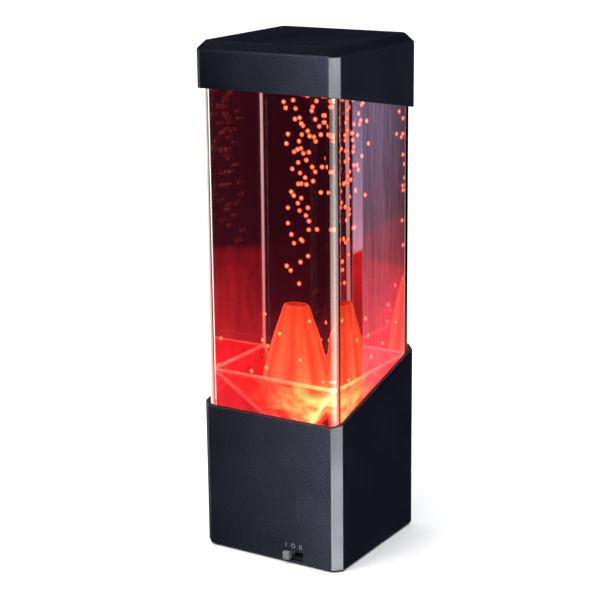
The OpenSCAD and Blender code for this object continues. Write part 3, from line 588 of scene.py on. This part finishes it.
def lofted(outlines, closed=False):
    """Closed solid through outlines given as (points, z); closed joins the last ring to the first."""
    bm = bmesh.new()
    rings = [ring(bm, points, z) for points, z in outlines]
    for low, high in zip(rings, rings[1:]):
        join_rings(bm, low, high)
    if closed:
        join_rings(bm, rings[-1], rings[0])
    else:
        bm.faces.new(rings[0][::-1])
        bm.faces.new(rings[-1])
    return bm


def add_ball(bm, centre, radius):
    made = bmesh.ops.create_icosphere(bm, subdivisions=2, radius=radius)["verts"]
    bmesh.ops.translate(bm, verts=made, vec=centre)


# ---------- shells ----------

def on_outside(node):
    """A test for the vertices of a square shell that lie on its sides, its corner cuts or the cap's top."""
    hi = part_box(node)[1]
    cut = 2 * hi.x - CORNER_CUT

    def keep(v):
        x, y = abs(v.co.x), abs(v.co.y)
        return (max(x, y) > hi.x - 0.5 * MM
                or x + y > cut - 0.36 * MM
                or node == "top_cap" and v.co.z > hi.z - 0.1 * MM)
    return keep


def build_shells():
    """The base's and the cap's shells with their outer edges rounded."""
    for name, node, body, width in (("base_shell", "base_housing", "lamp_body", 0.45 * MM),
                                    ("cap_shell", "top_cap", "cap", 0.5 * MM)):
        bm = clean_copy(node)
        bevel_edges(bm, width, 3, on_outside(node))
        bmesh.ops.triangulate(bm, faces=[f for f in bm.faces if len(f.verts) > 4])
        piece = new_piece(name, to_mesh(name, bm), body, "black_shell")
        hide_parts(node)


def build_knob():
    """Switch knob with the edges of its outer end rounded."""
    bm = clean_copy("switch_knob")
    outer_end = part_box("switch_knob")[0].y + 3 * MM
    bevel_edges(bm, 0.12 * MM, 2, lambda v: v.co.y < outer_end)
    piece = new_piece("knob", to_mesh("knob", bm), "switch", "knob_plastic")
    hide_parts("switch_knob")


def build_marks():
    """Printed I, O and II over the switch's three positions, a hair proud of the wall."""
    knob_lo, knob_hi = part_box("switch_knob")
    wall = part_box("base_housing")[0].y
    travel = next(j for j in frame["joints"] if j["name"] == "switch_slide")["range_m"][1]
    tall, thick, proud = 2.3 * MM, 0.3 * MM, 0.03 * MM
    pitch, pair = 4.2 * MM, 0.9 * MM
    across = (knob_lo.x + knob_hi.x + travel) / 2
    up = knob_hi.z + 2.5 * MM + tall / 2
    bm = bmesh.new()
    for x in (across - pitch, across + pitch - pair / 2, across + pitch + pair / 2):
        made = bmesh.ops.create_cube(bm, size=1.0)["verts"]
        bmesh.ops.scale(bm, verts=made, vec=(thick, proud, tall))
        bmesh.ops.translate(bm, verts=made, vec=(x, wall - proud / 2, up))
    outer, inner = tall / 2, tall / 2 - thick
    rings = [[bm.verts.new((across + x, y, up + z)) for x, z in circle(radius, 32)]
             for radius, y in ((outer, wall), (outer, wall - proud), (inner, wall - proud), (inner, wall))]
    for a, b in zip(rings, rings[1:] + rings[:1]):
        join_rings(bm, a, b)
    new_piece("switch_marks", to_mesh("switch_marks", bm), "lamp_body", "knob_plastic", PRINT)


# ---------- clear parts ----------

def build_tank():
    """Moulded tank with its rims and inner corners rounded."""
    lo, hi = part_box("tank")
    wall, edge = 3 * MM, 0.4 * MM
    outer, outer_radius = hi.x, 5 * MM
    inner, inner_radius = hi.x - wall, 2 * MM
    bm = lofted([
        (round_square(outer - edge, outer_radius - edge), lo.z),
        (round_square(outer, outer_radius), lo.z + edge),
        (round_square(outer, outer_radius), hi.z - edge),
        (round_square(outer - edge, outer_radius - edge), hi.z),
        (round_square(inner + edge, inner_radius + edge), hi.z),
        (round_square(inner, inner_radius), hi.z - edge),
        (round_square(inner, inner_radius), lo.z + wall),
    ])
    piece = new_piece("tank_shell", to_mesh("tank_shell", bm), "lamp_body", "tank_acrylic")
    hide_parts("tank")


def build_water():
    """The liquid as one block, with a hair of space to the walls."""
    lo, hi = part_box("water_fill")
    outline = round_square(hi.x, 2 * MM)
    bm = lofted([(outline, lo.z), (outline, hi.z)])
    piece = new_piece("water", to_mesh("water", bm), "lamp_body", "tinted_water")
    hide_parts("water_fill")


def build_funnel():
    """Clear funnel: rim band, four sloping panels and a flat bed, as one skin with thickness.

    The stored value edge is 1 on the rim and along the valleys, where the plastic's edges catch light.
    """
    lo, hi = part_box("funnel")
    half = hi.x
    bed = lo.z + 1.5 * MM
    bed_half, bed_radius = 9.2 * MM, 0.8 * MM
    lip, band, chamfer = 1.2 * MM, 1.8 * MM, 0.6 * MM
    collar = 4.5 * MM
    collar_radius = collar * 0.98
    rings = [
        (collar, collar_radius, lo.z, False),
        (bed_half + lip, bed_radius, lo.z, False),
        (half, 2 * MM, hi.z - band, False),
        (half, 2 * MM, hi.z, True),
        (half - lip, 1.5 * MM, hi.z, True),
        (half - lip - chamfer, 1.4 * MM, hi.z - 1.2 * chamfer, False),
        (bed_half, bed_radius, bed, False),
        (collar, collar_radius, bed, False),
    ]
    bm = lofted([(round_square(w, r), z) for w, r, z, _ in rings], closed=True)
    edge = []
    for w, _, _, on_rim in rings:
        for i in range(4 * CORNER_POINTS):
            mid_arc = 2 < i % CORNER_POINTS < CORNER_POINTS - 3
            edge.append(float(on_rim or mid_arc and w > collar))
    mesh = to_mesh("funnel_skin", bm)
    store(mesh, "edge", edge)
    piece = new_piece("funnel_skin", mesh, "lamp_body", "funnel_acrylic", FUNNEL, smooth=25)
    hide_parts("funnel")


def fold_reach(height):
    """Depth of the deepest folds; height runs 0 at the foot to 1 at the lip."""
    return 1 * MM * (1 - 0.75 * height)


def fold(angle, height):
    """How far the cone's skin is folded in at an angle."""
    wave = 0.5 + 0.5 * math.cos(9 * angle + 0.8 * math.sin(2 * angle))
    fine = 0.5 + 0.5 * math.cos(21 * angle + 2.0)
    lump = noise.noise(Vector((3 * math.cos(angle), 3 * math.sin(angle), 5 * height)))
    return fold_reach(height) * (0.75 * wave ** 2 + 0.2 * fine + 0.25 * (lump + 0.5))


def cone_profile(foot):
    """The cone's section as (height, radius, folded), up the outside and down the inside."""
    mouth, bore, skin = 4.3 * MM, 5.5 * MM, 1.5 * MM
    knee, shoulder = foot * 0.89, foot * 0.58
    outside = [(0.0, foot), (0.22, knee), (0.44, foot * 0.75), (0.69, shoulder), (0.845, foot * 0.45),
               (0.97, mouth + 3.1 * MM), (0.992, mouth + 2.6 * MM), (1.0, mouth + 1.9 * MM)]
    inside = [(1.0, mouth + 0.9 * MM), (0.985, mouth), (0.926, mouth), (0.925, bore), (0.8, bore),
              (0.69, shoulder - skin), (0.22, knee - skin), (0.0, foot - skin)]
    profile = []
    for (t0, r0), (t1, r1) in zip(outside, outside[1:]):
        pieces = max(1, round((t1 - t0) * 40))
        profile += [(t0 + (t1 - t0) * k / pieces, r0 + (r1 - r0) * k / pieces, True)
                    for k in range(pieces)]
    profile.append((*outside[-1], True))
    return profile + [(t, r, False) for t, r in inside]


def build_cone():
    """Volcano cone with soft upright folds, a rounded lip and an open crater.

    The stored value fold is the fold's depth in parts of its reach, and IN_CRATER on the inside.
    """
    lo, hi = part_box("volcano_cone")
    around = 180
    bm = bmesh.new()
    rings = []
    depths = []
    for t, r, folded in cone_profile(hi.x):
        row = []
        for i in range(around):
            a = TAU * i / around
            depth = fold(a, t) if folded else 0.0
            depths.append(depth / fold_reach(t) if folded else IN_CRATER)
            radius = r - depth
            row.append(bm.verts.new((radius * math.cos(a), radius * math.sin(a),
                                     lo.z + (hi.z - lo.z) * t)))
        rings.append(row)
    for low, high in zip(rings, rings[1:] + rings[:1]):
        join_rings(bm, low, high)
    mesh = to_mesh("cone_skin", bm)
    store(mesh, "fold", depths)
    piece = new_piece("cone_skin", mesh, "lamp_body", "volcano_plastic", smooth=60)
    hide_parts("volcano_cone")


def bead_centres(node):
    """Centres of the CAD node's separate balls."""
    bm = bmesh.new()
    bm.from_mesh(NODES[node].data)
    bmesh.ops.remove_doubles(bm, verts=bm.verts, dist=SAME_PLACE)
    seen = set()
    centres = []
    for start in bm.verts:
        if start in seen:
            continue
        stack, members = [start], []
        seen.add(start)
        while stack:
            v = stack.pop()
            members.append(v.co.copy())
            for e in v.link_edges:
                other = e.other_vert(v)
                if other not in seen:
                    seen.add(other)
                    stack.append(other)
        centres.append(Vector([(min(c[k] for c in members) + max(c[k] for c in members)) / 2
                               for k in range(3)]))
    bm.free()
    return centres


def build_beads():
    """Round beads with glowing cores, a painted highlight, at the CAD beads' places."""
    skin = FINISHES["lava_bead"]
    for node, name in (("rising_beads", "rising"), ("sinking_beads", "sinking")):
        centres = bead_centres(node)
        for part, radius, material in (("skin", 1.25 * MM, skin), ("core", 0.62 * MM, GLOWING_CORE)):
            bm = bmesh.new()
            for centre in centres:
                add_ball(bm, centre, radius)
            full_name = f"{name}_bead_{part}"
            piece = new_piece(full_name, to_mesh(full_name, bm), "lamp_body", "lava_bead", material,
                              smooth=180)
            if part == "skin":
                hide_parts(node)


# ---------- stage ----------

def build_floor():
    """Pale paper floor that clear parts and gloss do not show."""
    bm = bmesh.new()
    bmesh.ops.create_circle(bm, cap_ends=True, radius=STAGE_RADIUS, segments=96)
    mesh = to_mesh("floor", bm)
    floor = bpy.data.objects.new("floor", mesh)
    scene.collection.objects.link(floor)
    m = Nodes("floor_paper")
    m.put(Roughness=0.9, Specular_IOR_Level=0.1)
    m.colour(m.ramp(m.noise(3.0), [(0.3, (0.86, 0.86, 0.865)), (0.7, (0.9, 0.9, 0.905))]))
    mesh.materials.append(m.material)
    floor.visible_glossy = False
    floor.visible_transmission = False


def build_world():
    """Soft white light that rises from none near the horizon to full overhead."""
    world = bpy.data.worlds.new("studio")
    scene.world = world
    world.use_nodes = True
    tree = world.node_tree
    background = tree.nodes["Background"]
    place = tree.nodes.new("ShaderNodeTexCoord")
    split = tree.nodes.new("ShaderNodeSeparateXYZ")
    rise = tree.nodes.new("ShaderNodeMapRange")
    rise.interpolation_type = "SMOOTHSTEP"
    for key, value in (("From Min", 0.42), ("From Max", 0.85), ("To Max", 2.4)):
        rise.inputs[key].default_value = value
    tree.links.new(place.outputs["Generated"], split.inputs["Vector"])
    tree.links.new(split.outputs["Z"], rise.inputs["Value"])
    tree.links.new(rise.outputs["Result"], background.inputs["Strength"])
    background.inputs["Color"].default_value = (0.98, 0.985, 1.0, 1.0)


def reflector(name, mesh, colour, strength):
    """A lit card that only gloss and clear parts show."""
    card = bpy.data.objects.new(name, mesh)
    scene.collection.objects.link(card)
    m = Nodes(name)
    m.put(Base_Color=(0.0, 0.0, 0.0, 1.0), Roughness=1.0, Specular_IOR_Level=0.0)
    m.glow(m.ramp(m.noise(2.0), [(0.0, tuple(c * 0.97 for c in colour)), (1.0, colour)]), strength)
    m.material.cycles.emission_sampling = "NONE"
    mesh.materials.append(m.material)
    card.visible_camera = False
    card.visible_diffuse = False
    card.visible_shadow = False
    card.visible_volume_scatter = False
    return card


def build_surround():
    """White wall behind everything, seen by the camera alone."""
    bm = bmesh.new()
    outline = circle(STAGE_RADIUS - 0.1, 96)
    join_rings(bm, ring(bm, outline, -0.1), ring(bm, outline, 4.0))
    surround = reflector("surround", to_mesh("surround", bm), (1.0, 1.0, 1.0), 1.0)
    surround.visible_camera = True
    surround.visible_glossy = False
    surround.visible_transmission = False


def bearing(azimuth, elevation=0.0):
    """Direction from the lamp in degrees; azimuth 0 is the front and 90 the right."""
    a, e = math.radians(azimuth), math.radians(elevation)
    return Vector((math.sin(a) * math.cos(e), -math.cos(a) * math.cos(e), math.sin(e)))


def standing_card(name, azimuth, distance, width, low, high, strength, colour):
    """An upright reflector card facing the lamp."""
    foot = bearing(azimuth) * distance
    across = bearing(azimuth + 90) * width / 2
    bm = bmesh.new()
    corners = ((foot - across, low), (foot + across, low), (foot + across, high), (foot - across, high))
    bm.faces.new([bm.verts.new((corner.x, corner.y, z)) for corner, z in corners])
    return reflector(name, to_mesh(name, bm), colour, strength)


def build_softbox():
    """Large soft light from the front left, aimed at the lamp's middle."""
    back = bearing(-28, 38)
    middle = Vector((0, 0, 0.12))
    distance = 1.5
    data = bpy.data.lights.new("front_box", "AREA")
    data.shape = "RECTANGLE"
    data.size = data.size_y = 0.8
    data.energy = 14
    light = bpy.data.objects.new("front_box", data)
    scene.collection.objects.link(light)
    light.location = middle + back * distance
    light.rotation_mode = "QUATERNION"
    light.rotation_quaternion = back.to_track_quat("Z", "Y")


def build_cards():
    """Cards for the shells' corner cuts and the tank's left side to catch."""
    cool = (0.91, 0.95, 1.0)
    for name, low, high, strength, colour in (
            ("low_card", -0.7, -0.17, 20.0, cool),
            ("corner_card", -0.17, 0.134, 6.0, (0.95, 0.93, 1.0)),
            ("high_card", 0.134, 0.5, 18.0, cool)):
        card = standing_card(name, azimuth=58.7, distance=0.7, width=0.36, low=low, high=high,
                             strength=strength, colour=colour)
        card.visible_transmission = False
    standing_card("left_card", azimuth=-90, distance=0.6, width=0.5, low=-0.25, high=0.3,
                  strength=0.75, colour=(0.86, 0.86, 1.0))


def build_camera():
    """View from slightly above, turned to the lamp's front right corner."""
    data = bpy.data.cameras.new("camera")
    data.sensor_width = 36.0
    data.lens = 101.1
    camera = bpy.data.objects.new("camera", data)
    scene.collection.objects.link(camera)
    azimuth, pitch, roll = math.radians(31.72), math.radians(15.23), math.radians(-0.65)
    camera.location = (0.4265, -0.6988, 0.3484)
    turn = (Matrix.Rotation(azimuth, 4, "Z") @ Matrix.Rotation(TAU / 4 - pitch, 4, "X")
            @ Matrix.Rotation(roll, 4, "Z"))
    camera.rotation_mode = "QUATERNION"
    camera.rotation_quaternion = turn.to_quaternion()
    scene.camera = camera


build_camera()
finish_cad_nodes()
build_shells()
build_knob()
build_marks()
build_tank()
build_water()
build_funnel()
build_cone()
build_beads()
build_floor()
build_world()
build_surround()
build_softbox()
build_cards()

scene.view_settings.view_transform = "Standard"
scene.cycles.max_bounces = 24
scene.cycles.transmission_bounces = 20
scene.cycles.transparent_max_bounces = 24
scene.cycles.glossy_bounces = 8
scene.cycles.sample_clamp_indirect = 6.0
